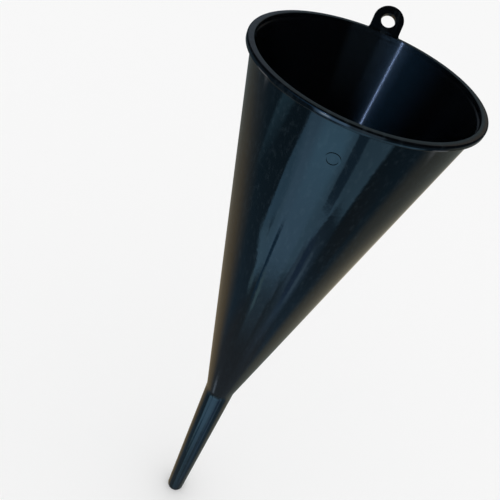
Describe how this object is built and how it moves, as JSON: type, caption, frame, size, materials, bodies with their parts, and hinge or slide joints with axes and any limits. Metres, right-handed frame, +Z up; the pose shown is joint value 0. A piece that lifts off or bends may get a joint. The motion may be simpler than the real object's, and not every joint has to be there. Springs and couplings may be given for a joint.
{
  "type": "funnel",
  "caption": "Extra-long black plastic pouring funnel with a flanged mouth, a slender tapered spout and a tilted hanging eyelet.",
  "frame": {"origin": "centre of the outlet's end face, on the funnel's axis", "axes": "+Z up the funnel's axis from the outlet to the mouth, +Y towards the hang loop, -Y towards the mould mark"},
  "size_m": [0.125, 0.1383, 0.4662],
  "materials": {
    "cone_plastic": "glossy blue-black moulded polypropylene",
    "rim_plastic": "glossy blue-black moulded polypropylene",
    "neck_plastic": "glossy blue-black moulded polypropylene",
    "spout_plastic": "glossy blue-black moulded polypropylene",
    "tip_plastic": "glossy blue-black moulded polypropylene",
    "loop_plastic": "glossy blue-black moulded polypropylene",
    "mark_plastic": "glossy blue-black moulded polypropylene"
  },
  "bodies": {
    "root": {"cone": "cone_plastic", "rim_flange": "rim_plastic", "neck": "neck_plastic", "spout": "spout_plastic", "outlet_tip": "tip_plastic", "hang_loop": "loop_plastic", "mould_mark": "mark_plastic"}
  },
  "joints": []
}
